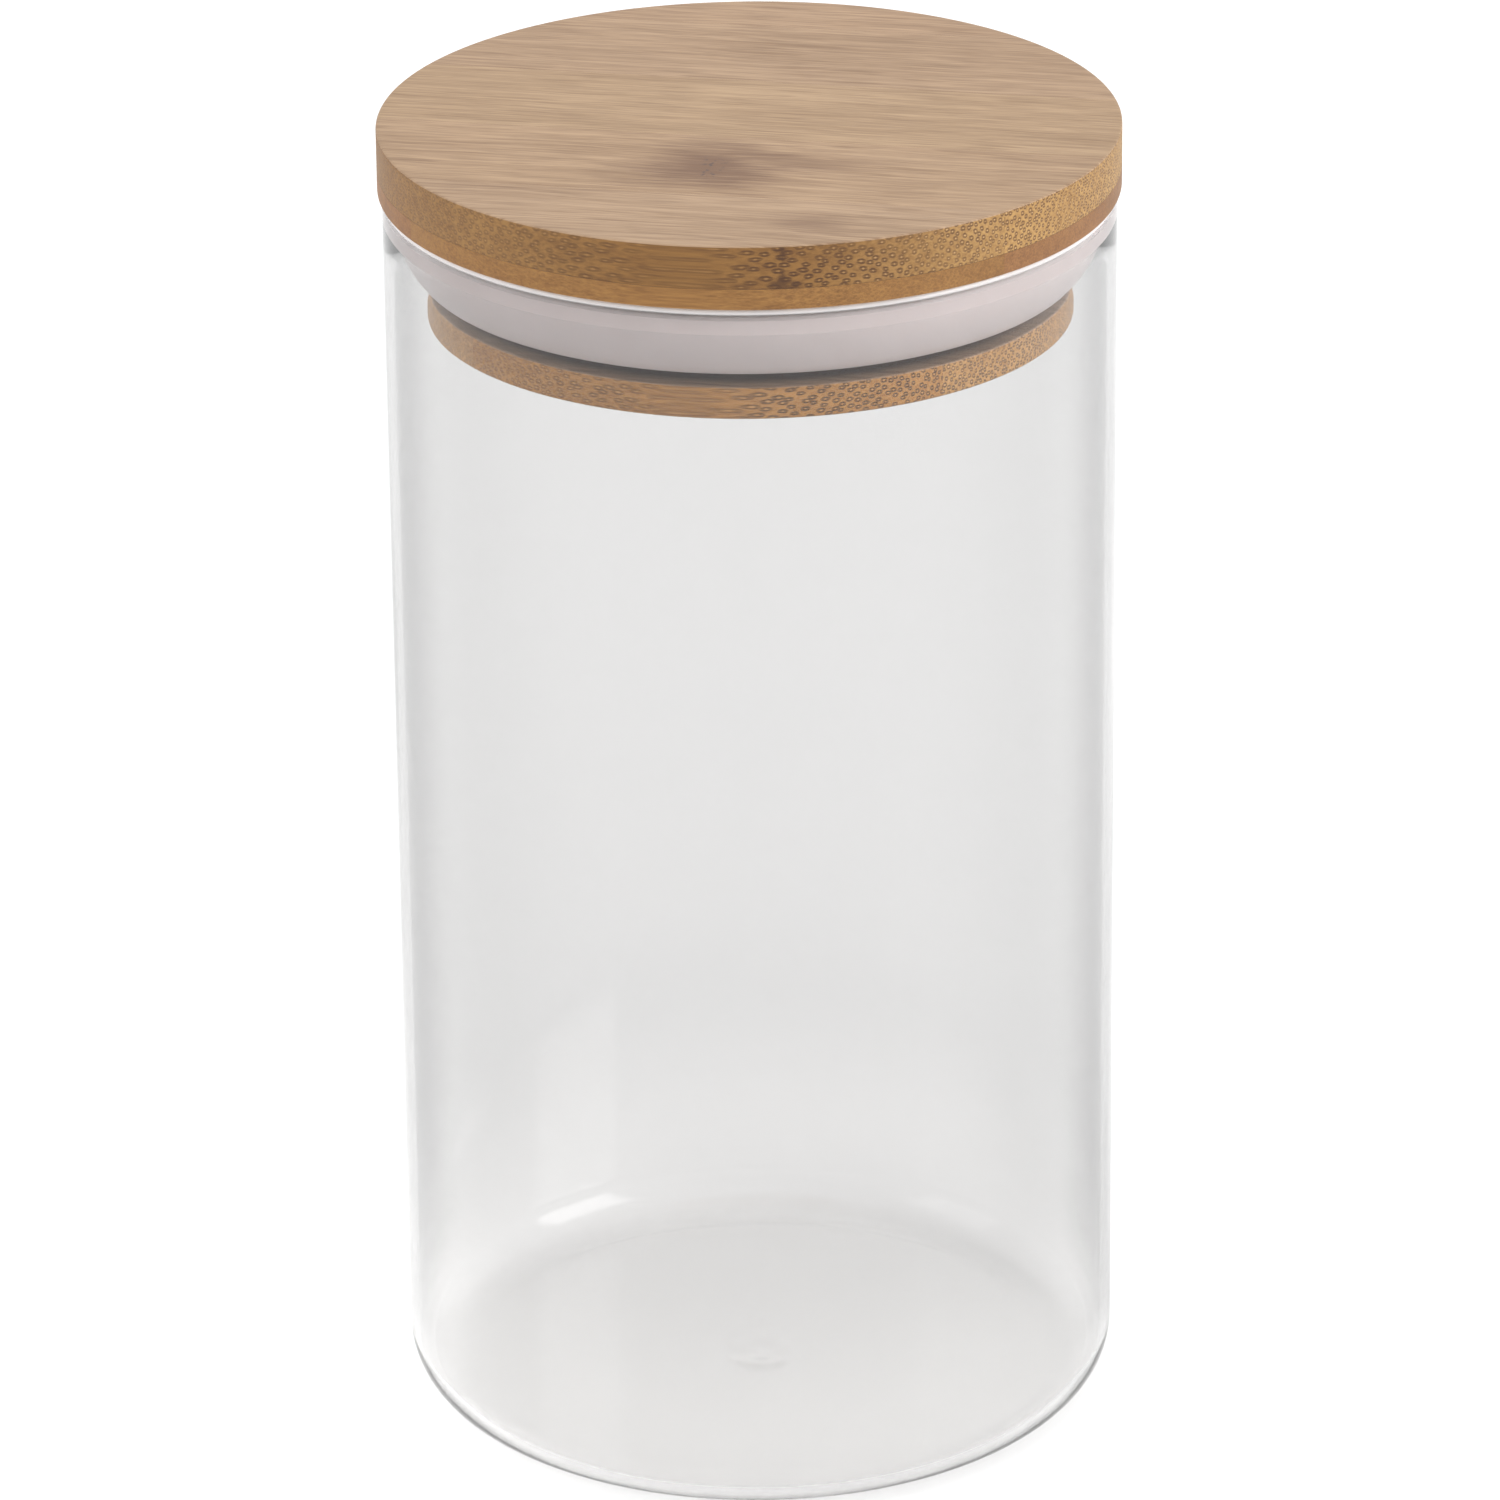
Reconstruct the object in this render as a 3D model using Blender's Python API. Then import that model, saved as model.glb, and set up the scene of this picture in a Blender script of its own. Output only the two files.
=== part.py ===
"""Food canister: a clear glass jar with a bamboo lid that pushes in on a silicone gasket.

The lid is a laminated bamboo board. Its three plies (top, flange and plug) are each glued up
from five parallel strips, and the glue lines of the three plies lie above each other.
Units are metres, +Z is up and the origin is the middle of the flat foot of the jar.
"""

import math

import bmesh
import bpy
from mathutils import Vector

MM = 0.001

# Jar
JAR_RADIUS = 49.45 * MM
JAR_HEIGHT = 176.4 * MM
WALL = 1.4 * MM
FLOOR = 1.6 * MM
FOOT_ROUNDING = 8.0 * MM  # outer radius between wall and foot
PONTIL_RADIUS = 4.5 * MM  # small raised mark in the middle of the floor
PONTIL_HEIGHT = 0.7 * MM

# Lid
COVER_RADIUS = 50.0 * MM
TOP_PLY = 5.7 * MM
FLANGE_PLY = 2.8 * MM
NECK_RADIUS = 38.0 * MM  # bottom of the groove that holds the gasket
PLUG_RADIUS = 43.6 * MM
PLUG_DISC = 4.5 * MM
PLUG_DEPTH = 17.3 * MM  # from the flange's underside to the plug's underside
EDGE_ROUNDING = 0.6 * MM

# Strips that the plies are glued up from
STRIP_COUNT = 5
STRIP_WIDTH = 23.0 * MM
FIRST_SEAM = -30.4 * MM  # distance of the front glue line from the axis
GRAIN_TURN = math.radians(-11.0)  # the grain runs along X turned by this about Z

# Gasket, heights below the flange's underside
LIP_TOP = 1.5 * MM
LIP_UPRIGHT = 5.0 * MM  # above this the lip stands parallel to the glass
LIP_FOOT = 11.1 * MM
FOOT_RADIUS = 43.4 * MM
LIP_THICKNESS = 1.2 * MM
HUB_THICKNESS = 2.2 * MM

# Clearances
GAP = 0.3 * MM  # between two pieces that touch
GROOVE_CLEARANCE = 0.4 * MM

# Mesh resolution
SEGMENTS = 72
ARC_STEPS = 6
WELD = 0.001 * MM
SMOOTH_ANGLE = math.radians(32.0)

FLANGE_UNDERSIDE = JAR_HEIGHT + GAP


def arc(centre_r, centre_z, radius, start_deg, end_deg, steps=ARC_STEPS):
    """Points (r, z) along a circular arc, both ends included."""
    points = []
    for i in range(steps + 1):
        angle = math.radians(start_deg + (end_deg - start_deg) * i / steps)
        points.append((centre_r + radius * math.cos(angle), centre_z + radius * math.sin(angle)))
    return points


def lathe(outline, ring=False):
    """Turns an outline of (r, z) points about Z. The ends of an open outline get flat caps."""
    bm = bmesh.new()
    verts = [bm.verts.new((r, 0.0, z)) for r, z in outline]
    pairs = list(zip(verts, verts[1:]))
    if ring:
        pairs.append((verts[-1], verts[0]))
    edges = [bm.edges.new(pair) for pair in pairs]
    bmesh.ops.spin(
        bm, geom=verts + edges, cent=(0, 0, 0), axis=(0, 0, 1), angle=math.tau, steps=SEGMENTS
    )
    bmesh.ops.remove_doubles(bm, verts=bm.verts, dist=WELD)
    close_holes(bm)
    return bm


def close_holes(bm):
    """Puts one flat face over each open edge loop and turns all faces outward."""
    open_edges = [edge for edge in bm.edges if edge.is_boundary]
    if open_edges:
        bmesh.ops.holes_fill(bm, edges=open_edges, sides=0)
    bmesh.ops.recalc_face_normals(bm, faces=bm.faces)


def cut_away(bm, plane_point, plane_normal):
    """Removes what lies on the side of the plane that its normal points away from."""
    bmesh.ops.bisect_plane(
        bm,
        geom=bm.verts[:] + bm.edges[:] + bm.faces[:],
        dist=WELD,
        plane_co=plane_point,
        plane_no=plane_normal,
        clear_inner=True,
    )
    close_holes(bm)


def new_material(name, colour, roughness, transmission=0.0, ior=1.5):
    material = bpy.data.materials.new(name)
    material.use_nodes = True
    shader = material.node_tree.nodes["Principled BSDF"]
    shader.inputs["Base Color"].default_value = (*colour, 1.0)
    shader.inputs["Roughness"].default_value = roughness
    shader.inputs["Metallic"].default_value = 0.0
    shader.inputs["Transmission Weight"].default_value = transmission
    shader.inputs["IOR"].default_value = ior
    material.diffuse_color = (*colour, 1.0)
    return material


def new_object(name, bm, material, parent=None, height=0.0):
    """Makes a smooth-shaded object from bm, on the jar's axis at a height above its parent."""
    mesh = bpy.data.meshes.new(name)
    bm.to_mesh(mesh)
    bm.free()
    mesh.materials.append(material)
    mesh.shade_smooth()
    mesh.set_sharp_from_angle(angle=SMOOTH_ANGLE)
    obj = bpy.data.objects.new(name, mesh)
    bpy.context.scene.collection.objects.link(obj)
    obj.parent = parent
    obj.location = (0.0, 0.0, height)
    return obj


def new_empty(name, height):
    empty = bpy.data.objects.new(name, None)
    bpy.context.scene.collection.objects.link(empty)
    empty.location = (0.0, 0.0, height)
    return empty


def jar_outline():
    """Foot, outer wall, round rim, inner wall, floor and pontil mark, from outside to inside."""
    inner_radius = JAR_RADIUS - WALL
    inner_rounding = FOOT_ROUNDING - WALL
    foot_centre = JAR_RADIUS - FOOT_ROUNDING
    foot = arc(foot_centre, FOOT_ROUNDING, FOOT_ROUNDING, -90, 0)
    rim = arc(JAR_RADIUS - WALL / 2, JAR_HEIGHT - WALL / 2, WALL / 2, 0, 180)
    floor = arc(inner_radius - inner_rounding, FLOOR + inner_rounding, inner_rounding, 0, -90)
    pontil = [
        (PONTIL_RADIUS, FLOOR),
        (0.8 * PONTIL_RADIUS, FLOOR + 0.6 * PONTIL_HEIGHT),
        (0.4 * PONTIL_RADIUS, FLOOR + PONTIL_HEIGHT),
    ]
    return foot + rim + floor + pontil


def make_jar():
    glass = new_material("clear_glass", (0.93, 0.95, 0.95), 0.02, transmission=1.0, ior=1.47)
    return new_object("glass_jar", lathe(jar_outline()), glass)


def lip_face(low_radius, low_z, high_radius, high_z, steps=6):
    """Points (r, z) of the lip's bulging face, slanting at its foot and upright at its top."""
    points = []
    for i in range(steps + 1):
        share = i / steps
        bulge = (1.0 - (1.0 - share) ** 1.5) ** (1.0 / 1.5)
        radius = low_radius + (high_radius - low_radius) * bulge
        points.append((radius, low_z + (high_z - low_z) * share))
    return points


def gasket_outline():
    """A hub that stands in the lid's groove and a cup-shaped lip that opens upward at the glass."""
    hub_inner = NECK_RADIUS + GROOVE_CLEARANCE
    hub_outer = hub_inner + HUB_THICKNESS
    hub_bottom = PLUG_DISC - PLUG_DEPTH + GAP
    lip_radius = JAR_RADIUS - WALL - GAP
    corner = LIP_THICKNESS / 2
    outer_face = lip_face(FOOT_RADIUS, -LIP_FOOT, lip_radius, -LIP_UPRIGHT)
    tip = arc(lip_radius - corner, -LIP_TOP - corner, corner, 0, 180)
    inner_face = lip_face(
        FOOT_RADIUS - corner, -LIP_FOOT + LIP_THICKNESS, lip_radius - LIP_THICKNESS, -LIP_UPRIGHT
    )
    inner_face.reverse()
    hub = [
        (hub_outer, -LIP_FOOT + LIP_THICKNESS),
        (hub_outer, -LIP_TOP),
        (hub_inner, -LIP_TOP),
        (hub_inner, hub_bottom),
        (hub_outer, hub_bottom),
        (hub_outer, -LIP_FOOT),
    ]
    return outer_face + tip + inner_face + hub


def make_gasket(parent):
    silicone = new_material("white_silicone", (0.80, 0.78, 0.77), 0.45)
    return new_object("silicone_gasket", lathe(gasket_outline(), ring=True), silicone, parent)


def top_ply_outline():
    """Side and rounded upper edge of the top ply, from its underside up."""
    rounding = arc(
        COVER_RADIUS - EDGE_ROUNDING, TOP_PLY - EDGE_ROUNDING, EDGE_ROUNDING, 0, 90, steps=4
    )
    return [(COVER_RADIUS, 0.0)] + rounding


def flange_ply_outline():
    """Side and rounded lower edge of the ply that rests on the jar's rim."""
    rounding = arc(COVER_RADIUS - EDGE_ROUNDING, EDGE_ROUNDING, EDGE_ROUNDING, -90, 0, steps=4)
    return rounding + [(COVER_RADIUS, FLANGE_PLY)]


def plug_outline():
    """Disc and neck of the plug ply: the step between them is the lower side of the groove."""
    corner = EDGE_ROUNDING
    lower = arc(PLUG_RADIUS - corner, corner, corner, -90, 0, steps=3)
    upper = arc(PLUG_RADIUS - corner, PLUG_DISC - corner, corner, 0, 90, steps=3)
    neck = [(NECK_RADIUS, PLUG_DISC), (NECK_RADIUS, PLUG_DEPTH - GAP)]
    return lower + upper + neck


def strip_bands():
    """Where each strip starts and ends across the grain, from the lid's front to its back."""
    seams = [FIRST_SEAM + i * STRIP_WIDTH for i in range(STRIP_COUNT - 1)]
    starts = [None] + [seam + GAP / 2 for seam in seams]
    ends = [seam - GAP / 2 for seam in seams] + [None]
    return list(zip(starts, ends))


def make_ply(name, outline, height, parent, tone):
    """Cuts a turned ply into its glued strips, one object each."""
    across = Vector((-math.sin(GRAIN_TURN), math.cos(GRAIN_TURN), 0.0))
    for number, (start, end) in enumerate(strip_bands(), start=1):
        bm = lathe(outline)
        if start is not None:
            cut_away(bm, across * start, across)
        if end is not None:
            cut_away(bm, across * end, -across)
        shade = tone * (1.0 + 0.06 * (number % 2))
        bamboo = new_material(
            f"bamboo_{name}_{number}", (0.55 * shade, 0.36 * shade, 0.20 * shade), 0.5
        )
        new_object(f"{name}_strip_{number}", bm, bamboo, parent, height)


def make_lid(parent):
    make_ply("top_ply", top_ply_outline(), FLANGE_PLY + GAP, parent, 1.0)
    make_ply("flange_ply", flange_ply_outline(), 0.0, parent, 0.9)
    make_ply("plug_ply", plug_outline(), -PLUG_DEPTH, parent, 0.95)


def main():
    for obj in list(bpy.data.objects):
        bpy.data.objects.remove(obj, do_unlink=True)
    make_jar()
    seal = new_empty("seal_axis", FLANGE_UNDERSIDE)
    make_gasket(seal)
    lid = new_empty("lid_axis", FLANGE_UNDERSIDE)
    make_lid(lid)


main()
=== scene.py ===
import math

import bmesh
import bpy
from mathutils import Matrix, Vector


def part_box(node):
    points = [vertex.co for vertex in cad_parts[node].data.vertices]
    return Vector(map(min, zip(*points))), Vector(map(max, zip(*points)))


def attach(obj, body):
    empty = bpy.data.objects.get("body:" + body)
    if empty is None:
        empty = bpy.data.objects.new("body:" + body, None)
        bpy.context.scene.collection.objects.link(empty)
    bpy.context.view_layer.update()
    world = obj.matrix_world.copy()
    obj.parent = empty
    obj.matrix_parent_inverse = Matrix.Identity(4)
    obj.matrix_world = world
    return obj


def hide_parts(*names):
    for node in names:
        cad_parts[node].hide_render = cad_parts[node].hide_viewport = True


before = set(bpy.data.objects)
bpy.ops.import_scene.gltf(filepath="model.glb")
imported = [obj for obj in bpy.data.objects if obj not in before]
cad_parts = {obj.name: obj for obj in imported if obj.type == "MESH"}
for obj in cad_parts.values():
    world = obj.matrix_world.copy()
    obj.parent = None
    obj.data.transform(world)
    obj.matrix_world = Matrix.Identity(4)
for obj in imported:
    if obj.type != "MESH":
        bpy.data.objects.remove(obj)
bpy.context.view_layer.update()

MM = 0.001

# ---------------------------------------------------------------- sizes, from the frame
PLIES = ("top", "flange", "plug")
STRIP_COUNT = 5


def ply_box(ply):
    """Lowest and highest corner of all the strips of one ply."""
    corners = [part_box(f"{ply}_ply_strip_{i + 1}") for i in range(STRIP_COUNT)]
    low = Vector([min(c[0][k] for c in corners) for k in range(3)])
    high = Vector([max(c[1][k] for c in corners) for k in range(3)])
    return low, high


jar_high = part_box("glass_jar")[1]
seal_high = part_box("silicone_gasket")[1]
top_low, top_high = ply_box("top")
flange_low, flange_high = ply_box("flange")
plug_low, plug_high = ply_box("plug")

JAR_RADIUS = jar_high.x
COVER_RADIUS = top_high.x
COVER_TOP = top_high.z
COVER_UNDERSIDE = flange_low.z
RIM_TOP = COVER_UNDERSIDE - 0.03 * MM  # the cover rests on the rim
PLY_JOINT = (top_low.z + flange_high.z) / 2
PLUG_RADIUS = plug_high.x
PLUG_UNDERSIDE = plug_low.z

# Sizes that the frame doesn't give, as in the CAD model
WALL = 1.4 * MM
FLOOR = 1.6 * MM
FOOT_ROUNDING = 8.0 * MM
PONTIL_RADIUS = 4.5 * MM
PLUG_DISC = 4.5 * MM
NECK_RADIUS = 38.0 * MM  # bottom of the groove that holds the gasket
STRIP_WIDTH = 23.0 * MM
FIRST_SEAM = -30.4 * MM  # distance of the front glue line from the axis
GRAIN_TURN = math.radians(-11.0)  # the grain runs along X turned by this about Z

# Sizes of the finer surface
PONTIL_HEIGHT = 0.4 * MM
PONTIL_REACH = 1.6  # where its foot ends, as a share of its radius
PONTIL_SHOULDER = 0.85  # where it falls off, as a share of its radius
GLUE_LINE = 0.02 * MM
BOARD_ROUNDING = 0.3 * MM
LIP_THICKNESS = 1.2 * MM
LIP_HEIGHT = 9.6 * MM
LIP_FOOT_RADIUS = 43.4 * MM
LIP_PRESSED = 0.02 * MM  # how far the lip reaches into the glass that it touches
LIP_BULGE = 1.5  # exponent of its curve
LIP_CONTACT = 7.4 * MM  # above the lip's foot, where its outer face meets the glass
LIP_UPRIGHT = 6.1 * MM  # above the lip's foot, where its inner face stands upright
HUB_INNER = NECK_RADIUS + 0.4 * MM
HUB_OUTER = NECK_RADIUS + 2.6 * MM
SMOOTH_ANGLE = math.radians(30.0)
BOARD_SEGMENTS = 288
ROUND_SEGMENTS = 192  # of the jar and the gasket


# ---------------------------------------------------------------- mesh tools
def arc(centre_r, centre_z, radius, start_deg, end_deg, steps):
    """Points (r, z) along a circular arc, both ends included."""
    points = []
    for i in range(steps + 1):
        angle = math.radians(start_deg + (end_deg - start_deg) * i / steps)
        points.append((centre_r + radius * math.cos(angle), centre_z + radius * math.sin(angle)))
    return points


def run(start, end, steps):
    """Points (r, z) on a straight line, without its ends."""
    return [
        (start[0] + (end[0] - start[0]) * i / steps, start[1] + (end[1] - start[1]) * i / steps)
        for i in range(1, steps)
    ]


def lathe(outline, segments, ring=False):
    """Turns an outline of (r, z) points about Z. The ends of an open outline get flat caps."""
    bm = bmesh.new()
    loops = []
    for r, z in outline:
        loop = []
        for i in range(segments):
            angle = math.tau * i / segments
            loop.append(bm.verts.new((r * math.cos(angle), r * math.sin(angle), z)))
        loops.append(loop)
    pairs = list(zip(loops, loops[1:]))
    if ring:
        pairs.append((loops[-1], loops[0]))
    for lower, upper in pairs:
        for i in range(segments):
            j = (i + 1) % segments
            bm.faces.new((lower[i], lower[j], upper[j], upper[i]))
    if not ring:
        bm.faces.new(loops[0])
        bm.faces.new(loops[-1])
    bmesh.ops.recalc_face_normals(bm, faces=bm.faces)
    return bm


def cut_away(bm, plane_point, plane_normal):
    """Removes what lies on the side that the plane's normal points away from, and caps the cut."""
    bmesh.ops.bisect_plane(
        bm,
        geom=bm.verts[:] + bm.edges[:] + bm.faces[:],
        dist=1e-7,
        plane_co=plane_point,
        plane_no=plane_normal,
        clear_inner=True,
    )
    open_edges = [edge for edge in bm.edges if edge.is_boundary]
    bmesh.ops.holes_fill(bm, edges=open_edges, sides=0)
    bmesh.ops.recalc_face_normals(bm, faces=bm.faces)


def new_piece(name, bm, material, body, nodes):
    """Makes an object of bm that rides on a body in place of the CAD nodes."""
    mesh = bpy.data.meshes.new(name)
    bm.to_mesh(mesh)
    bm.free()
    mesh.materials.append(material)
    mesh.shade_smooth()
    mesh.set_sharp_from_angle(angle=SMOOTH_ANGLE)
    piece = bpy.data.objects.new(name, mesh)
    bpy.context.scene.collection.objects.link(piece)
    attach(piece, body)
    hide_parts(*nodes)


# ---------------------------------------------------------------- material tools
class Graph:
    """Short calls for building a material's node tree."""

    def __init__(self, name):
        self.material = bpy.data.materials.new(name)
        self.material.use_nodes = True
        self.tree = self.material.node_tree
        self.tree.nodes.clear()
        self.output = self.tree.nodes.new("ShaderNodeOutputMaterial")

    def put(self, socket, value):
        if isinstance(value, bpy.types.NodeSocket):
            self.tree.links.new(value, socket)
        else:
            socket.default_value = value

    def node(self, kind, inputs=None, **settings):
        made = self.tree.nodes.new("ShaderNode" + kind)
        for key, value in settings.items():
            setattr(made, key, value)
        for key, value in (inputs or {}).items():
            self.put(made.inputs[key], value)
        return made

    def math(self, operation, a, b=0.0, c=0.0, clamp=False):
        made = self.node("Math", {0: a, 1: b, 2: c}, operation=operation, use_clamp=clamp)
        return made.outputs[0]

    def ramp(self, value, low, high, to_low=0.0, to_high=1.0):
        """Maps value from low..high to to_low..to_high with a smooth step."""
        made = self.node(
            "MapRange",
            {"Value": value, "From Min": low, "From Max": high, "To Min": to_low, "To Max": to_high},
            interpolation_type="SMOOTHSTEP",
        )
        return made.outputs[0]

    def mix(self, factor, a, b, blend="MIX"):
        made = self.node(
            "Mix", {0: factor, 6: a, 7: b}, data_type="RGBA", blend_type=blend, clamp_factor=True
        )
        return made.outputs[2]

    def scaled(self, vector, factors):
        made = self.node("VectorMath", {0: vector, 1: factors}, operation="MULTIPLY")
        return made.outputs[0]

    def shifted(self, vector, offset):
        made = self.node("VectorMath", {0: vector, 1: offset}, operation="ADD")
        return made.outputs[0]

    def split(self, vector):
        return self.node("SeparateXYZ", {0: vector}).outputs

    def joined(self, x, y, z):
        return self.node("CombineXYZ", {0: x, 1: y, 2: z}).outputs[0]

    def length(self, vector):
        return self.node("VectorMath", {0: vector}, operation="LENGTH").outputs["Value"]

    def turned(self, vector, angle):
        """The vector turned about Z."""
        made = self.node(
            "VectorRotate", {"Vector": vector, "Angle": angle}, rotation_type="Z_AXIS"
        )
        return made.outputs[0]

    def place(self):
        """Where a point is on the object, in mm."""
        return self.scaled(self.node("TexCoord").outputs["Object"], (1000.0, 1000.0, 1000.0))

    def noise(self, vector, detail=2.0, roughness=0.5):
        made = self.node(
            "TexNoise", {"Vector": vector, "Scale": 1.0, "Detail": detail, "Roughness": roughness}
        )
        return made.outputs["Fac"]

    def bump(self, height, distance, strength):
        inputs = {"Height": height, "Distance": distance, "Strength": strength}
        return self.node("Bump", inputs).outputs[0]

    def finish(self, shader):
        self.tree.links.new(shader, self.output.inputs["Surface"])
        return self.material


def rgb(red, green, blue):
    return (red, green, blue, 1.0)


# ---------------------------------------------------------------- bamboo
# Linear colours of the wood
FACE_LIGHT = rgb(0.455, 0.306, 0.190)
FACE_DARK = rgb(0.214, 0.122, 0.061)
SIDE_LIGHT = rgb(0.238, 0.113, 0.026)
SIDE_DARK = rgb(0.126, 0.050, 0.009)
BUNDLE_RIM = rgb(0.056, 0.019, 0.004)
PLUG_RIM = rgb(0.020, 0.007, 0.001)  # before the plug's pale tint
BUNDLE_CORE = rgb(0.330, 0.180, 0.064)
STAIN = rgb(0.165, 0.085, 0.046)
SPECK = rgb(0.100, 0.062, 0.052)
# painted shade: dark brown for the plug's groove, where the gasket shadows it
PAINTED_GROOVE_SHADE = rgb(0.075, 0.030, 0.010)

# Tint of each strip, front to back; on the flange and plug it is that of their sides
TINTS = {
    "top": [(1.00, 1.00, 1.00), (1.02, 1.01, 0.98), (1.03, 1.03, 0.98), (0.99, 0.98, 0.97),
            (1.00, 0.98, 0.97)],
    "flange": [(1.30, 1.33, 1.50), (1.28, 1.25, 1.75), (1.20, 1.19, 1.60), (1.24, 1.26, 1.70),
               (1.18, 1.18, 1.55)],
    "plug": [(2.55, 2.60, 2.75), (2.90, 3.30, 4.50), (2.70, 3.00, 3.70), (2.70, 3.00, 3.70),
             (2.65, 2.95, 3.60)],
}
# Spacing of the vascular bundles, in mm across the grain and up, and how dark they are
BUNDLES = {"top": (0.74, 0.84, 1.0), "flange": (0.40, 0.34, 0.30), "plug": (0.70, 0.78, 1.0)}
# Brown nodes of the culm: ply and strip, middle along and across the grain, half sizes, strength
NODES = [
    ("top", 2, (-1.6, -20.0), (13.0, 12.0), 0.95),
    ("top", 2, (11.0, -16.0), (12.0, 6.5), 0.45),
    ("top", 1, (16.0, -39.0), (7.5, 4.5), 0.50),
]
BUNDLE_ROWS = math.radians(36.0)  # slant of the rows that the bundles stand in
SPECKS = (-1.2, -19.5)  # pits of the second strip's node, along and across
KNOT_ALONG = 13.6  # where the front strip's node comes out on the side of the top ply
# painted light on the top ply's side, strongest at +X towards the right lamp
SIDE_PAINTED_LIGHT = rgb(1.92, 2.36, 3.50)  # of the top ply's side, where the grain ends


def bamboo(name, ply, number):
    """Bamboo strip: fibres and vascular bundles run through it along the grain."""
    g = Graph(name)
    place = g.place()
    turned = g.turned(place, -GRAIN_TURN)
    place_along = g.split(turned)[0]
    seed = 7.0 * number + 31.0 * PLIES.index(ply)
    grain = g.shifted(turned, (13.0 * seed, 5.3 * seed, 3.1 * seed))
    along, across, up = g.split(grain)[0:3]

    # the fibres wander a little sideways along their length
    drift = g.math("SUBTRACT", g.noise(g.scaled(grain, (0.05, 0.12, 0.12)), 1.0), 0.5)
    across = g.math("MULTIPLY_ADD", drift, 1.5, across)
    up = g.math("MULTIPLY_ADD", drift, -0.9, up)
    fibres = g.joined(along, across, up)
    fine = g.noise(g.scaled(fibres, (0.11, 3.0, 3.0)), 3.0, 0.65)
    dash = g.noise(g.scaled(fibres, (0.070, 1.5, 1.5)), 2.0, 0.55)
    cloud = g.noise(g.scaled(grain, (0.03, 0.12, 0.16)))

    # flat faces show the fibres lengthwise, the turned side shows them cut across
    facing_up = g.math("ABSOLUTE", g.split(g.node("NewGeometry").outputs["Normal"])[2])
    on_side = g.ramp(facing_up, 0.35, 0.75, 1.0, 0.0)
    on_face = g.math("SUBTRACT", 1.0, on_side)
    colour = wood(g, fibres, fine, dash, cloud, on_side, on_face)

    rim, core = bundles(g, BUNDLES[ply][0], BUNDLES[ply][1], across, up, fibres)
    strength = bundle_strength(g, ply, place_along, on_side)
    core_share = g.math("MULTIPLY", core, g.math("MULTIPLY", strength, 0.6))
    colour = g.mix(core_share, colour, BUNDLE_CORE)
    sparse = g.ramp(cloud, 0.30, 0.55, 0.6, 1.0)
    rim_dark = g.math("MULTIPLY", g.math("MULTIPLY_ADD", strength, 0.80, 0.06), sparse)
    rim_colour = PLUG_RIM if ply == "plug" else BUNDLE_RIM
    colour = g.mix(g.math("MULTIPLY", rim, rim_dark), colour, rim_colour)

    for node_ply, node_strip, middle, half, node_strength in NODES:
        if (node_ply, node_strip) == (ply, number):
            stain = node_stain(g, turned, middle, half, dash, fine)
            colour = g.mix(g.math("MULTIPLY", stain, node_strength), colour, STAIN)
    if (ply, number) == ("top", 2):
        colour = g.mix(specks(g, turned, on_face), colour, SPECK)
    if (ply, number) == ("top", 1):
        colour = g.mix(g.math("MULTIPLY", knot(g, turned), on_side), colour, BUNDLE_RIM)
    tinted = 1.0 if ply == "top" else on_side
    colour = g.mix(tinted, colour, rgb(*TINTS[ply][number - 1]), "MULTIPLY")
    # painted light on the side of the top ply
    if ply == "top":
        colour = painted_light_at_ends(g, colour, place_along, on_side)
    # painted shade in the plug's groove under the gasket
    if ply == "plug":
        colour = g.mix(groove_shade(g, place), colour, PAINTED_GROOVE_SHADE)

    relief = g.math("MULTIPLY_ADD", g.math("MULTIPLY", rim, strength), -0.8, fine)
    shader = g.node(
        "BsdfPrincipled",
        {"Base Color": colour, "Roughness": g.math("MULTIPLY_ADD", fine, 0.25, 0.42),
         "Normal": g.bump(relief, 0.06 * MM, 0.6), "IOR": 1.45},
    )
    return g.finish(shader.outputs[0])


def wood(g, fibres, fine, dash, cloud, on_side, on_face):
    """Colour of the plain wood: light and dark fibres, and short dark dashes on flat faces."""
    streak = g.noise(g.scaled(fibres, (0.018, 0.8, 0.8)))
    tone = g.math("MULTIPLY_ADD", g.math("SUBTRACT", streak, 0.5), 0.9, 0.66)
    tone = g.math("MULTIPLY_ADD", g.math("SUBTRACT", cloud, 0.5), 0.7, tone)
    tone = g.math("MULTIPLY_ADD", g.math("SUBTRACT", fine, 0.5), 2.0, tone, clamp=True)
    light = g.mix(on_side, FACE_LIGHT, SIDE_LIGHT)
    dark = g.mix(on_side, FACE_DARK, SIDE_DARK)
    dashes = g.math("MULTIPLY", g.ramp(dash, 0.54, 0.72), on_face)
    return g.mix(g.math("MULTIPLY", dashes, 0.62), g.mix(tone, dark, light), FACE_DARK)


def bundle_strength(g, ply, place_along, on_side):
    """How clearly the bundles show: on the side only, least where it runs along the grain."""
    strength = g.math("MULTIPLY", on_side, BUNDLES[ply][2])
    strength = g.math("MULTIPLY", strength, g.ramp(place_along, -26.0, 14.0, 0.45, 1.0))
    lengthwise = g.ramp(g.math("ABSOLUTE", place_along), 2.0, 13.0, 0.40, 1.0)
    return g.math("MULTIPLY", strength, lengthwise)


def painted_light_at_ends(g, colour, place_along, on_side):
    """Painted light: the side is painted paler towards the ends of the grain, most of all at +X,
    where the light from the right falls.
    """
    left_share = g.ramp(place_along, -30.0, -5.0, 0.25, 0.0)
    right_share = g.ramp(place_along, 14.0, 44.0)
    painted_share = g.math("MULTIPLY", g.math("ADD", left_share, right_share), on_side)
    return g.mix(painted_share, colour, g.mix(1.0, colour, SIDE_PAINTED_LIGHT, "MULTIPLY"))


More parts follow.
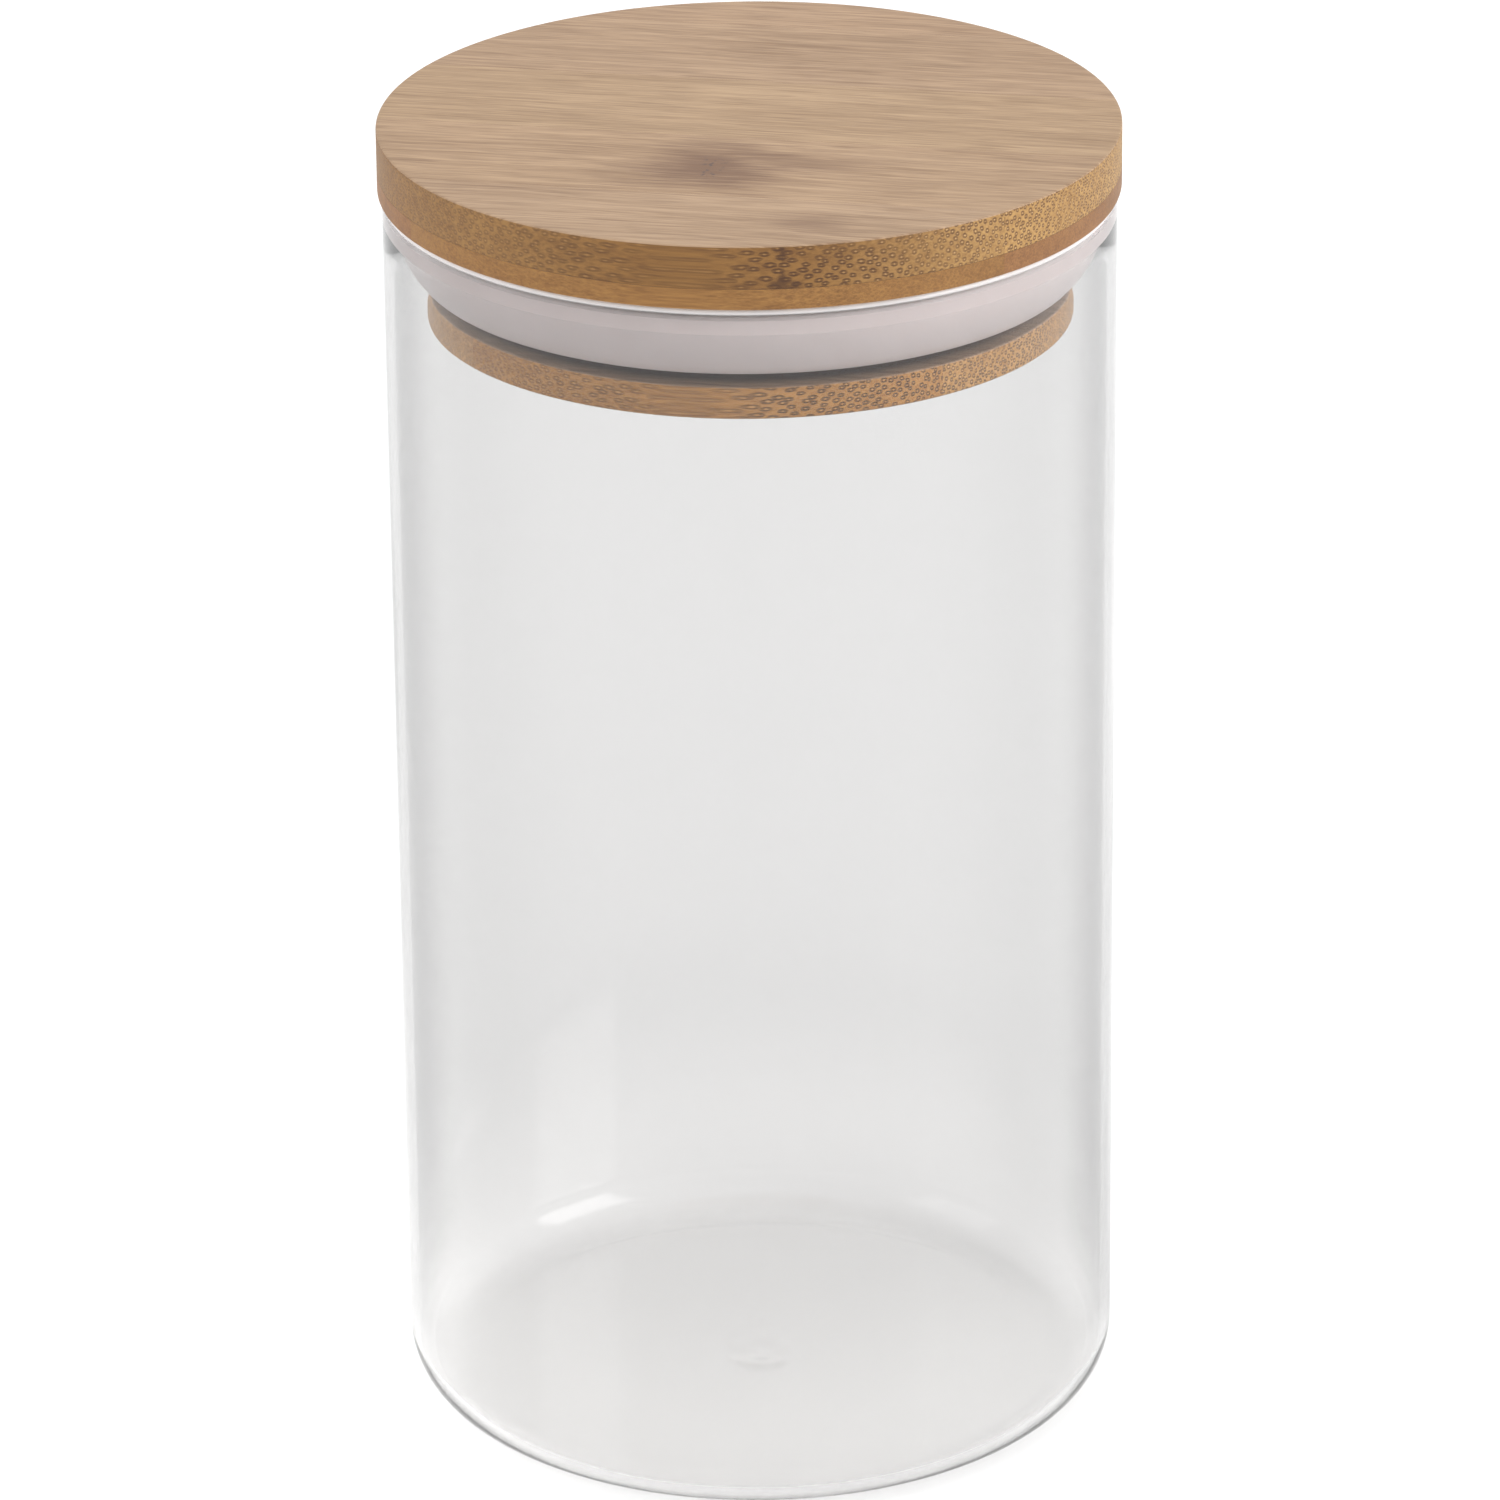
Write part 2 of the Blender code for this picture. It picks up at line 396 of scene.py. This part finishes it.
def bundles(g, width, height, across, up, fibres):
    """Dark rims and light cores of the vascular bundles, the same all along the grain."""
    upright = g.joined(g.math("DIVIDE", across, width), g.math("DIVIDE", up, height), 0.0)
    point = g.turned(upright, BUNDLE_ROWS)
    cells = g.node(
        "TexVoronoi", {"Vector": point, "Scale": 1.0, "Randomness": 0.48},
        voronoi_dimensions="2D",
    )
    offset = g.node("VectorMath", {0: point, 1: cells.outputs["Position"]}, operation="SUBTRACT")
    squashed = g.scaled(g.turned(offset.outputs[0], -BUNDLE_ROWS), (1.0, 0.84, 0.0))
    ragged = g.math("SUBTRACT", g.noise(g.scaled(fibres, (0.3, 3.5, 3.5)), 1.0), 0.5)
    distance = g.math("MULTIPLY_ADD", ragged, 0.20, g.length(squashed))
    radius = g.math("MULTIPLY_ADD", g.split(cells.outputs["Color"])[0], 0.08, 0.185)
    off_rim = g.math("ABSOLUTE", g.math("SUBTRACT", distance, radius))
    upward = g.math("ABSOLUTE", g.split(squashed)[1])
    lobes = g.ramp(g.math("DIVIDE", upward, g.math("ADD", distance, 0.02)), 0.10, 0.75, 0.55, 1.0)
    rim = g.math("MULTIPLY", g.ramp(off_rim, 0.06, 0.17, 1.0, 0.0), lobes)
    core = g.ramp(distance, 0.03, 0.12, 1.0, 0.0)
    return rim, core


def groove_shade(g, place):
    """Painted shade in the groove of the plug, fading out on the shoulder of the disc."""
    x, y, z = g.split(place)[0:3]
    from_axis = g.length(g.joined(x, y, 0.0))
    shoulder = (PLUG_UNDERSIDE + PLUG_DISC) / MM
    above = g.ramp(z, shoulder - 0.15, shoulder - 0.02)
    inward = g.ramp(from_axis, PLUG_RADIUS / MM - 3.6, PLUG_RADIUS / MM - 0.8, 0.95, 0.15)
    return g.math("MULTIPLY", above, inward)


def node_stain(g, turned, middle, half, dash, fine):
    """Brown cloud round the middle of a node, broken up by lighter fibres."""
    along, across = g.split(turned)[0:2]
    across_share = g.math("DIVIDE", g.math("SUBTRACT", across, middle[1]), half[1])
    along_share = g.math("DIVIDE", g.math("SUBTRACT", along, middle[0]), half[0])
    reach = g.length(g.joined(along_share, across_share, 0.0))
    patch = g.noise(g.scaled(turned, (0.10, 0.22, 0.0)))
    edge = g.math("MULTIPLY_ADD", g.math("SUBTRACT", patch, 0.5), 0.9, reach)
    edge = g.math("MULTIPLY_ADD", g.math("SUBTRACT", dash, 0.5), 1.5, edge)
    edge = g.math("MULTIPLY_ADD", g.math("SUBTRACT", fine, 0.5), 0.7, edge)
    return g.ramp(edge, 0.0, 1.15, 1.0, 0.0)


def specks(g, turned, on_face):
    """A short row of small dark pits across the middle of the second strip's node."""
    along, across = g.split(turned)[0:2]
    beside = g.math("ABSOLUTE", g.math("SUBTRACT", along, SPECKS[0]))
    past = g.math("ABSOLUTE", g.math("SUBTRACT", across, SPECKS[1]))
    near_row = g.ramp(beside, 0.8, 2.0, 1.0, 0.0)
    inside = g.math("MULTIPLY", near_row, g.ramp(past, 3.0, 5.0, 1.0, 0.0))
    dots = g.noise(g.scaled(turned, (0.9, 1.1, 0.0)), 1.0)
    return g.math("MULTIPLY", g.math("MULTIPLY", inside, g.ramp(dots, 0.56, 0.66)), on_face)


def knot(g, turned):
    """Broken dark mark where the node of the front strip comes out on the side."""
    along, _, up = g.split(turned)[0:3]
    off = g.math("ABSOLUTE", g.math("SUBTRACT", along, KNOT_ALONG))
    high = g.math("SUBTRACT", up, (COVER_TOP + PLY_JOINT) / 2 / MM)
    spread = g.ramp(high, -2.6, -1.0, 5.0, 1.6)
    blotch = g.noise(g.scaled(turned, (0.55, 0.55, 0.75)), 3.0, 0.6)
    near = g.math("SUBTRACT", 1.0, g.math("DIVIDE", off, spread))
    away = g.ramp(g.math("ABSOLUTE", g.math("ADD", high, -0.2)), 0.3, 1.6, 0.0, 0.35)
    level = g.math("ADD", g.math("ADD", near, away), g.math("MULTIPLY", blotch, 1.6))
    return g.ramp(level, 1.60, 2.15, 0.0, 0.75)


def board_outline(ply):
    """Section of one ply from the middle of its underside round to the middle of its top."""
    edge = BOARD_ROUNDING
    if ply == "top":
        low, high, radius = PLY_JOINT + GLUE_LINE, COVER_TOP, COVER_RADIUS
        side = [(radius - edge, low), (radius, low)]
        side += run((radius, low), (radius, high - edge), 4)
        side += arc(radius - edge, high - edge, edge, 0, 90, 6)
        return side + [(radius - 3 * edge, high)]
    if ply == "flange":
        low, high, radius = COVER_UNDERSIDE, PLY_JOINT - GLUE_LINE, COVER_RADIUS
        side = [(radius - 3 * edge, low)] + arc(radius - edge, low + edge, edge, -90, 0, 6)
        side += run((radius, low + edge), (radius, high), 3)
        return side + [(radius, high), (radius - edge, high)]
    low, high, radius = PLUG_UNDERSIDE, COVER_UNDERSIDE - GLUE_LINE, PLUG_RADIUS
    shoulder = low + PLUG_DISC
    side = [(radius - 3 * edge, low)] + arc(radius - edge, low + edge, edge, -90, 0, 6)
    side += run((radius, low + edge), (radius, shoulder - edge), 4)
    side += arc(radius - edge, shoulder - edge, edge, 0, 90, 6)
    side += [(radius - 3 * edge, shoulder), (NECK_RADIUS + edge, shoulder)]
    side += [(NECK_RADIUS, shoulder + edge), (NECK_RADIUS, high)]
    return side


def make_strip(ply, number):
    """One glued strip, cut out of its turned ply between two glue lines."""
    across = Vector((-math.sin(GRAIN_TURN), math.cos(GRAIN_TURN), 0.0))
    bm = lathe(board_outline(ply), BOARD_SEGMENTS)
    if number > 1:
        seam = FIRST_SEAM + (number - 2) * STRIP_WIDTH
        cut_away(bm, across * (seam + GLUE_LINE / 2), across)
    if number < STRIP_COUNT:
        seam = FIRST_SEAM + (number - 1) * STRIP_WIDTH
        cut_away(bm, across * (seam - GLUE_LINE / 2), -across)
    name = f"{ply}_strip_{number}"
    node = f"{ply}_ply_strip_{number}"
    new_piece(name, bm, bamboo(f"bamboo_{name}", ply, number), "lid", [node])


# ---------------------------------------------------------------- glass
# What the glass lets through at each surface
# painted light: the base and the low wall let more through than the upper wall, to lift the shade on
# the floor seen through them
BASE_PAINTED_LIGHT_TINT = rgb(0.995, 0.992, 0.988)
LOW_WALL_PAINTED_LIGHT_TINT = rgb(0.890, 0.886, 0.882)
WALL_TINT = rgb(0.785, 0.782, 0.781)
# painted glow: whitish rim that lets less through, in place of the light that the rim gathers
RIM_PAINTED_GLOW = rgb(0.93, 0.90, 0.90)
# The wall's share of that where it is seen straight on, at a slant and edge-on
STRAIGHT_SHARE = rgb(1.0, 1.0, 1.0)
SLANT_SHARE = rgb(0.935, 0.935, 0.935)
EDGE_SHARE = rgb(0.450, 0.450, 0.450)


def clear_glass():
    """Clear glass, faintly grey on the wall; its rim is painted whitish, a painted glow for the
    light that the polished rim gathers.
    """
    g = Graph("clear_glass")
    place = g.place()
    height = g.split(place)[2]
    rim_start = RIM_TOP / MM - 0.95
    at_rim = g.ramp(height, rim_start, rim_start + 0.4)
    # painted light: the wall is lighter low down
    wall = g.mix(g.ramp(height, 10.0, 38.0), LOW_WALL_PAINTED_LIGHT_TINT, WALL_TINT)
    grazing = g.node("LayerWeight", {"Blend": 0.5}).outputs["Facing"]
    share = g.mix(g.ramp(grazing, 0.52, 0.85), SLANT_SHARE, EDGE_SHARE)
    share = g.mix(g.ramp(grazing, 0.15, 0.45), STRAIGHT_SHARE, share)
    slanting_wall = g.mix(1.0, wall, share, "MULTIPLY")
    wall = g.mix(g.ramp(height, 6.0, 16.0), wall, slanting_wall)
    # painted light: the base is almost clear
    colour = g.mix(g.ramp(height, 0.4, 2.2), BASE_PAINTED_LIGHT_TINT, wall)
    # painted glow on the rim: whitish colour here and less transmission below
    colour = g.mix(at_rim, colour, RIM_PAINTED_GLOW)
    waves = g.noise(g.scaled(place, (0.03, 0.03, 0.008)))
    film = g.noise(g.scaled(place, (0.08, 0.08, 0.05)), 3.0)
    glass = g.node(
        "BsdfPrincipled",
        {"Base Color": colour, "Roughness": g.ramp(film, 0.35, 0.75, 0.0, 0.04),
         "Normal": g.bump(waves, 0.25 * MM, 0.35), "IOR": 1.47,
         "Transmission Weight": g.ramp(at_rim, 0.0, 1.0, 1.0, 0.35)},
    )
    # light passes the thin wall without being bent
    through = g.node("BsdfTransparent", {"Color": rgb(1.0, 1.0, 1.0)})
    shadow_ray = g.node("LightPath").outputs["Is Shadow Ray"]
    mixed = g.node("MixShader", {0: shadow_ray, 1: glass.outputs[0], 2: through.outputs[0]})
    return g.finish(mixed.outputs[0])


def jar_outline():
    """Foot, outer wall, round rim, inner wall, floor and pontil mark, from outside to inside."""
    inner_radius = JAR_RADIUS - WALL
    inner_rounding = FOOT_ROUNDING - WALL
    rim_z = RIM_TOP - WALL / 2
    foot = [(JAR_RADIUS - FOOT_ROUNDING - 4 * MM, 0.0)]
    foot += arc(JAR_RADIUS - FOOT_ROUNDING, FOOT_ROUNDING, FOOT_ROUNDING, -90, 0, 24)
    outer = run((JAR_RADIUS, FOOT_ROUNDING), (JAR_RADIUS, rim_z), 24)
    rim = arc(JAR_RADIUS - WALL / 2, rim_z, WALL / 2, 0, 180, 16)
    inner = run((inner_radius, rim_z), (inner_radius, FLOOR + inner_rounding), 24)
    floor = arc(inner_radius - inner_rounding, FLOOR + inner_rounding, inner_rounding, 0, -90, 24)
    pontil_edge = PONTIL_RADIUS * PONTIL_REACH
    floor += run((inner_radius - inner_rounding, FLOOR), (pontil_edge, FLOOR), 12)
    for i in range(12):
        share = PONTIL_REACH * (1.0 - i / 12)
        height = PONTIL_HEIGHT * math.exp(-((share / PONTIL_SHOULDER) ** 4))
        floor.append((PONTIL_RADIUS * share, FLOOR + height))
    return foot + outer + rim + inner + floor


def make_jar():
    bm = lathe(jar_outline(), ROUND_SEGMENTS)
    new_piece("blown_jar", bm, clear_glass(), "jar", ["glass_jar"])


# ---------------------------------------------------------------- gasket
def white_silicone():
    """Satin, faintly rosy silicone with a fine grit; light goes a little way into it."""
    g = Graph("white_silicone")
    place = g.place()
    cloud = g.noise(g.scaled(place, (0.15, 0.15, 0.15)), 3.0)
    grit = g.noise(g.scaled(place, (4.0, 4.0, 4.0)), 3.0)
    shader = g.node(
        "BsdfPrincipled",
        {"Base Color": g.mix(cloud, rgb(0.690, 0.608, 0.598), rgb(0.757, 0.673, 0.663)),
         "Roughness": g.ramp(grit, 0.3, 0.7, 0.32, 0.48), "IOR": 1.41,
         "Normal": g.bump(grit, 0.02 * MM, 0.4),
         "Subsurface Weight": 0.35, "Subsurface Radius": (1.0, 0.9, 0.85),
         "Subsurface Scale": 2.0 * MM},
    )
    return g.finish(shader.outputs[0])


def lip_face(low_radius, low_z, high_radius, high_z, steps=24):
    """Points (r, z) of the lip's bulging face, slanting at its foot and upright at its top."""
    points = []
    for i in range(steps + 1):
        share = i / steps
        bulge = (1.0 - (1.0 - share) ** LIP_BULGE) ** (1.0 / LIP_BULGE)
        radius = low_radius + (high_radius - low_radius) * bulge
        points.append((radius, low_z + (high_z - low_z) * share))
    return points


def gasket_outline():
    """Section of the gasket: hub in the groove and a cup-shaped lip that opens upward.

    The upper part of the lip is pressed flat against the glass, which it just touches.
    """
    corner = LIP_THICKNESS / 2
    top = seal_high.z
    foot_z = top - LIP_HEIGHT
    glass = JAR_RADIUS - WALL + LIP_PRESSED
    press_low, press_high = foot_z + LIP_CONTACT, top - 0.5 * MM
    outer_face = lip_face(LIP_FOOT_RADIUS, foot_z + 0.1 * MM, glass, press_low)
    outer_face += run((glass, press_low), (glass, press_high), 4)
    tip = [(glass, press_high)] + arc(glass - corner - 0.05 * MM, top - corner, corner, 30, 170, 10)
    root = foot_z + LIP_THICKNESS
    inner_face = lip_face(
        LIP_FOOT_RADIUS - corner, root, glass - LIP_THICKNESS, foot_z + LIP_UPRIGHT
    )
    inner_face.reverse()
    hub = [(HUB_OUTER + 0.3 * MM, root), (HUB_OUTER, root + 0.3 * MM), (HUB_OUTER, top)]
    hub += [(HUB_INNER, top), (HUB_INNER, foot_z)]
    return [(LIP_FOOT_RADIUS - 0.2 * MM, foot_z)] + outer_face + tip + inner_face + hub


def make_gasket():
    bm = lathe(gasket_outline(), ROUND_SEGMENTS, ring=True)
    new_piece("moulded_gasket", bm, white_silicone(), "seal", ["silicone_gasket"])


# ---------------------------------------------------------------- camera, floor and light
CAMERA_ELEVATION = math.radians(23.17)
CAMERA_ROLL = math.radians(-0.56)
CAMERA_DISTANCE = 1.2607
CAMERA_LENS = 219.4
AIM_LEFT = 0.69 * MM  # how far left of the canister's middle the camera looks
AIM_UP = 0.83 * MM  # and how far above it
FLOOR_HALF = 60.0
FLOOR_DROP = 0.15 * MM
SKY_AT_HORIZON = 1.09
SKY_OVERHEAD = 1.06


def make_camera():
    """A long lens well back from the canister, looking down at it by 23 degrees."""
    back = Vector((0.0, -math.cos(CAMERA_ELEVATION), math.sin(CAMERA_ELEVATION)))
    up = Vector((0.0, math.sin(CAMERA_ELEVATION), math.cos(CAMERA_ELEVATION)))
    right = Vector((1.0, 0.0, 0.0))
    middle = Vector((0.0, 0.0, COVER_TOP / 2))
    position = middle + back * CAMERA_DISTANCE
    aim = middle - right * AIM_LEFT + up * AIM_UP
    forward = (aim - position).normalized()
    side = (right * math.cos(CAMERA_ROLL) + up * math.sin(CAMERA_ROLL)).normalized()
    top = side.cross(forward).normalized()
    side = forward.cross(top).normalized()
    turn = Matrix((side, top, -forward)).transposed()
    data = bpy.data.cameras.new("camera")
    data.sensor_width = 36.0
    data.lens = CAMERA_LENS
    camera = bpy.data.objects.new("camera", data)
    camera.matrix_world = Matrix.Translation(position) @ turn.to_4x4()
    bpy.context.scene.collection.objects.link(camera)
    bpy.context.scene.camera = camera


def make_floor():
    """A wide white floor, a hair below the jar's foot."""
    half = FLOOR_HALF
    mesh = bpy.data.meshes.new("floor")
    corners = [(-half, -half, 0), (half, -half, 0), (half, half, 0), (-half, half, 0)]
    mesh.from_pydata(corners, [], [(0, 1, 2, 3)])
    g = Graph("floor_white")
    shader = g.node("BsdfDiffuse", {"Color": rgb(0.97, 0.97, 0.97), "Roughness": 0.5})
    mesh.materials.append(g.finish(shader.outputs[0]))
    floor = bpy.data.objects.new("floor", mesh)
    floor.location.z = -FLOOR_DROP
    bpy.context.scene.collection.objects.link(floor)


def softbox(name, position, size, power):
    """A square area light aimed at the middle of the canister."""
    data = bpy.data.lights.new(name, "AREA")
    data.shape = "SQUARE"
    data.size = size
    data.energy = power
    lamp = bpy.data.objects.new(name, data)
    lamp.location = position
    aim = Vector((0.0, 0.0, COVER_TOP / 2)) - Vector(position)
    lamp.rotation_euler = aim.to_track_quat("-Z", "Y").to_euler()
    bpy.context.scene.collection.objects.link(lamp)


def make_surroundings():
    """White surroundings, a touch brighter at the horizon than overhead."""
    world = bpy.data.worlds.new("studio")
    world.use_nodes = True
    nodes = world.node_tree.nodes
    links = world.node_tree.links
    direction = nodes.new("ShaderNodeTexCoord")
    upward = nodes.new("ShaderNodeSeparateXYZ")
    brightness = nodes.new("ShaderNodeMapRange")
    brightness.inputs["To Min"].default_value = SKY_AT_HORIZON
    brightness.inputs["To Max"].default_value = SKY_OVERHEAD
    background = nodes["Background"]
    background.inputs["Color"].default_value = rgb(1.0, 1.0, 1.0)
    links.new(direction.outputs["Generated"], upward.inputs[0])
    links.new(upward.outputs["Z"], brightness.inputs["Value"])
    links.new(brightness.outputs[0], background.inputs["Strength"])
    bpy.context.scene.world = world


def make_light():
    make_surroundings()
    softbox("overhead", (-0.2, -0.7, 1.7), 1.5, 3.0)
    softbox("from_right", (1.1, -0.45, 0.6), 0.7, 6.0)
    softbox("from_left", (-1.8, -0.5, 0.9), 1.1, 4.2)
    bpy.context.scene.view_settings.view_transform = "Standard"


def main():
    make_jar()
    make_gasket()
    for ply in PLIES:
        for number in range(1, STRIP_COUNT + 1):
            make_strip(ply, number)
    make_camera()
    make_floor()
    make_light()


main()
